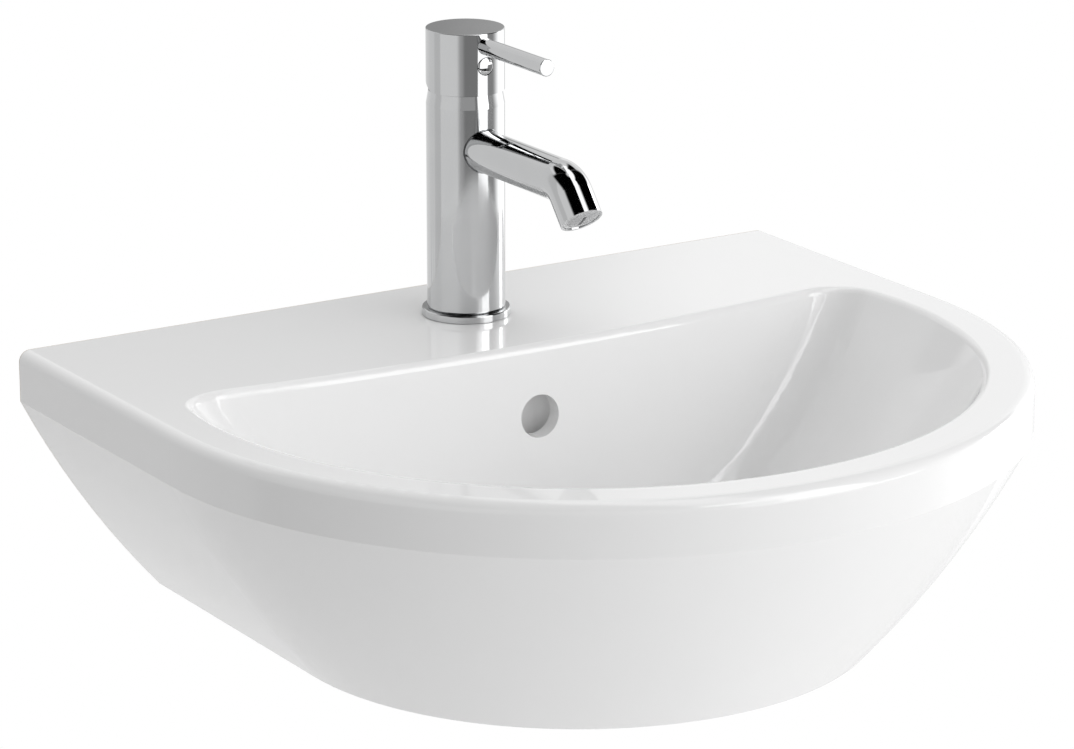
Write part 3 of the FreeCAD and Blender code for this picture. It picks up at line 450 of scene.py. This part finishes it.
FINISHES["polished_chrome"] = polished_chrome("polished_chrome", POLISHED_ROUGHNESS, POLISHED_RINGS)
turned_chrome = polished_chrome("turned_chrome", TURNED_ROUGHNESS, TURNED_RINGS)
print("chrome roughness", POLISHED_ROUGHNESS, "and on the column", TURNED_ROUGHNESS)

# %% [markdown]
# ## Plain metals, rubber and plastics
# The fittings under the deck are bright steel with drawn lines, turned brass with fine rings, and black
# rubber. Inside the tap are acetal plastics and two ground ceramic discs. Each gets the grain that its
# making leaves: stretched noise for drawing and turning, fine speckle for moulding. One function makes them
# all, so they differ only by a line of numbers: the darkest and the lightest colour, the lumps per metre
# along X, Y and Z, the roughness and what the grain adds to it, how metallic it is, and how strong the
# relief is.

# %% Fittings
GRAIN_DETAIL = 5.0
GRAIN_HEIGHT = 0.0002
GRAINS = {
    "fixing_steel": ((0.42, 0.42, 0.41), (0.58, 0.58, 0.57), (900, 900, 60), 0.24, 0.16, 1.0, 0.25),
    "fitting_brass": ((0.55, 0.37, 0.13), (0.72, 0.52, 0.22), (60, 60, 2600), 0.2, 0.14, 1.0, 0.25),
    "seal_rubber": ((0.016, 0.016, 0.017), (0.04, 0.04, 0.042), (1500, 1500, 1500), 0.6, 0.25, 0.0, 0.4),
    "jet_plastic": ((0.44, 0.445, 0.45), (0.50, 0.505, 0.51), (900, 900, 900), 0.3, 0.15, 0.0, 0.2),
    "cartridge_plastic": ((0.66, 0.66, 0.62), (0.74, 0.74, 0.70), (700, 700, 700), 0.38, 0.18, 0.0, 0.2),
    "disc_ceramic": ((0.76, 0.75, 0.71), (0.83, 0.82, 0.79), (1800, 1800, 1800), 0.18, 0.1, 0.0, 0.1),
}


def grained(name, dark, light, stretch, roughness, spread, metallic, relief):
    """Finish whose grain is noise on stretched Object coordinates; it tints, roughens and raises a little."""
    material, wire = new_material(name)
    drawn = wire.node("ShaderNodeMapping", None, {"Vector": wire.place(), "Scale": stretch})
    grain = wire.noise(drawn, 1.0, GRAIN_DETAIL)
    raised = {"Strength": relief, "Distance": GRAIN_HEIGHT, "Height": grain}
    sockets = {
        "Base Color": grain.blend(dark, light),
        "Metallic": metallic,
        "Roughness": roughness + spread * grain,
        "Normal": wire.node("ShaderNodeBump", None, raised),
    }
    surface(wire, wire.node("ShaderNodeBsdfPrincipled", None, sockets))
    return material


for finish_name, settings in GRAINS.items():
    FINISHES[finish_name] = grained(finish_name, *settings)
print(len(FINISHES), "finishes")

# %% [markdown]
# ## Dress the solids
# The record names a material slot for every node, so one loop gives each solid its finish, with no list to
# keep in step by hand. Only the column differs from its slot: it takes the turned chrome.

# %% Assign the finishes
for part in frame["record"]["subparts"]:
    solid = nodes[part["node"]]
    solid.data.materials.clear()
    solid.data.materials.append(FINISHES[part["material_slot"]])
nodes["tap_body"].data.materials[0] = turned_chrome
print("dressed", len(nodes), "solids")

# %% [markdown]
# ## Turned pieces
# The stud, the nuts, the plug and the waste's tail are all turned on a lathe, so each new piece is rings of
# points round an axis. Blender's Screw and Spin tools could turn a profile too, but rings from a formula
# need no merging, and the order of their points keeps the faces outwards.

# %% Helpers for turned pieces
SHARP_ANGLE = math.radians(30)


def middle_of(node):
    """Low corner, high corner and middle of a node's box, as arrays."""
    low, high = (np.array(corner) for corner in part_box(node))
    return low, high, (low + high) / 2


def turned_spots(radius, height, turn, middle):
    """Points round an upright axis: (x + radius cos(turn), y + radius sin(turn), height)."""
    return np.stack([middle[0] + radius * np.cos(turn), middle[1] + radius * np.sin(turn), height], axis=-1)


def capped_faces(rows, columns):
    """Faces of a closed grid with a flat many-sided face over its first and last row."""
    ring = np.arange(columns)
    ends = [ring[::-1].tolist(), (ring + (rows - 1) * columns).tolist()]
    return grid_faces(rows, columns, True).tolist() + ends


def ring_faces(rows, columns):
    """Faces of a grid that closes both ways: the row after the last is the first again."""
    return grid_faces(rows + 1, columns, True) % (rows * columns)


def add_piece(name, body, slot, spots, faces, node=None):
    """New piece on a body, with the finish of its slot and crisp edges; it may stand for a node."""
    made = new_mesh(name, spots, faces, FINISHES[slot])
    made.data.set_sharp_from_angle(angle=SHARP_ANGLE)
    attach(made, body)
    if node:
        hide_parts(node)
    print(name, "has", len(faces), "faces and stands for", node or "no node")


print("edges over", round(math.degrees(SHARP_ANGLE)), "degrees stay crisp")

# %% [markdown]
# ## The fixing stud
# Under the deck one steel stud pulls the tap down. A thread is a groove wound round a bar. It could be swept
# along a helix and cut away, but a formula closes by itself: on a grid of heights and turns the depth
# depends only on the share of a pitch that a point has climbed, height / pitch - turn, which is the same
# again after one full turn. Rolled threads have rounded roots, so the groove is a cosine.

# %% Threaded stud
STUD_PITCH = 0.00125
STUD_DEPTH = 0.00068
STUD_STEPS = 24
ROWS_PER_PITCH = 10


def thread(low, high, crest, pitch, depth, steps):
    """Radius, height and turn of a thread, a row for each height and a column for each turn.

    radius = crest - depth (1 + cos(2 pi height / pitch - turn)) / 2; a cone at each end keeps it under
    root + distance from the end.
    """
    heights = np.linspace(low, high, round((high - low) / pitch * ROWS_PER_PITCH))
    height, turn = np.meshgrid(heights, full_turn(steps), indexing="ij")
    groove = (1 + np.cos(2 * np.pi * height / pitch - turn)) / 2
    end = np.minimum(height - low, high - height)
    return np.minimum(crest - depth * groove, crest - depth + end), height, turn


low, high, middle = middle_of("fixing_stud")
radius, height, turn = thread(low[2], high[2], high[0] - middle[0], STUD_PITCH, STUD_DEPTH, STUD_STEPS)
spots = turned_spots(radius, height, turn, middle)
add_piece("threaded_stud", "root", "fixing_steel", spots, capped_faces(*radius.shape), "fixing_stud")

# %% [markdown]
# ## The nuts
# A nut is turned from six-sided bar, and the turning tool takes the corners off in a cone, which leaves the
# curved edges that tell a real nut from a prism. Each nut is eight rings of points joined into one closed
# skin, with the sides at flat / cos(angle from the middle of a side), so no cutting is needed.

# %% Turned nuts
NUT_STEPS = 72
NUT_EDGE_SHARE = 0.97
NUT_LEAD = 0.0004
HALF_SIDE = math.pi / 6
CONE_ANGLE = math.pi / 6
STUD_NUT_BORE = 0.00405
TAIL_NUT_BORE = 0.021


def turned_nut(name, node, slot, bore):
    """Closed skin of rings: bore, countersink, flat face, coned corners, and the same back down.

    side = flat / cos(turn from the middle of a side), and a corner's cone drops by (side - edge) tan(cone),
    where edge is the radius of the flat end face.
    """
    low, high, middle = middle_of(node)
    turn = full_turn(NUT_STEPS)
    flat = (high[0] - middle[0]) * math.cos(HALF_SIDE)
    side = flat / np.cos(turn % (2 * HALF_SIDE) - HALF_SIDE)
    edge = flat * NUT_EDGE_SHARE
    ring = np.ones(NUT_STEPS)
    reach = [bore * ring, (bore + NUT_LEAD) * ring, edge * ring, side]
    rise = [NUT_LEAD * ring, 0 * ring, 0 * ring, (side - edge) * math.tan(CONE_ANGLE)]
    radius = np.stack(reach + reach[::-1])
    height = np.stack([low[2] + step for step in rise] + [high[2] - step for step in rise[::-1]])
    spots = turned_spots(radius, height, turn, middle)
    add_piece(name, "root", slot, spots, ring_faces(*radius.shape), node)


turned_nut("clamp_nut", "stud_nut", "fitting_brass", STUD_NUT_BORE)
turned_nut("tail_nut", "waste_nut", "fitting_brass", TAIL_NUT_BORE)

# %% [markdown]
# ## The index plug
# A small plug hides the screw that holds the lever's head. In the picture its face is domed, with a dark
# line round its edge and the spout mirrored low in it. The solid's dome is flatter and its edge is sharp, so
# this one is rounder, a little slimmer and stands just proud, as rings of points round the way the lever
# points.

# %% Index plug
PLUG_RISE = 0.0013
PLUG_GAP = 0.0002
PLUG_EDGE = 0.0005
PLUG_DOME = 0.021
PLUG_STEPS = 64
PLUG_ROUNDING = 6
PLUG_FACE_SHARES = np.array([0.7, 0.4, 0.1])


def index_plug(name, node):
    """Rings from the back edge over a quarter-round edge to the middle of the face.

    The edge runs through edge (sin a, cos a) for a from 90 to 0 degrees, and the face falls back from its
    middle by radius^2 / (2 dome).
    """
    low, high, middle = middle_of(node)
    face, outer = low[1] - PLUG_RISE, high[0] - middle[0] - PLUG_GAP
    bend = np.linspace(np.pi / 2, 0, PLUG_ROUNDING)
    rim = outer - PLUG_EDGE + PLUG_EDGE * np.sin(bend)
    radius = np.concatenate([[outer], rim, rim[-1] * PLUG_FACE_SHARES])
    depth = face + radius**2 / (2 * PLUG_DOME)
    depth[0] = high[1]
    depth[1 : PLUG_ROUNDING + 1] += PLUG_EDGE * (1 - np.cos(bend))
    radius, depth, turn = radius[:, None], depth[:, None], full_turn(PLUG_STEPS)[None, :]
    across, up = middle[0] + radius * np.cos(turn), middle[2] + radius * np.sin(turn)
    spots = np.stack([across, depth + 0 * turn, up], axis=-1)
    add_piece(name, "lever", "polished_chrome", spots, capped_faces(len(spots), PLUG_STEPS), node)


index_plug("domed_plug", "index_plug")

# %% [markdown]
# ## The thread on the waste's tail
# The free end of the waste is threaded for the trap's nut. Its tube has slots and a bridge inside that a
# formula would not give, so the solid stays, and the thread is a thin sleeve round it: the stud's winding at
# a coarser pitch, with two more rings of points that close it inside the tube's wall.

# %% Threaded tail
TAIL_LENGTH = 0.0195
TAIL_TUBE = 0.02095
TAIL_CREST = 0.0213
TAIL_PITCH = 0.0023
TAIL_DEPTH = 0.00033
TAIL_WALL = 0.001
TAIL_STEPS = 96

low, high, middle = middle_of("waste_body")
foot = low[2] + TAIL_PITCH / ROWS_PER_PITCH
radius, height, turn = thread(foot, low[2] + TAIL_LENGTH, TAIL_CREST, TAIL_PITCH, TAIL_DEPTH, TAIL_STEPS)
inside = np.full((1, TAIL_STEPS), TAIL_TUBE - TAIL_WALL)
radius = np.concatenate([inside, radius, inside])
height = np.concatenate([height[:1], height, height[-1:]])
spots = turned_spots(radius, height, turn[0], middle)
add_piece("tail_thread", "root", "polished_chrome", spots, ring_faces(*radius.shape))
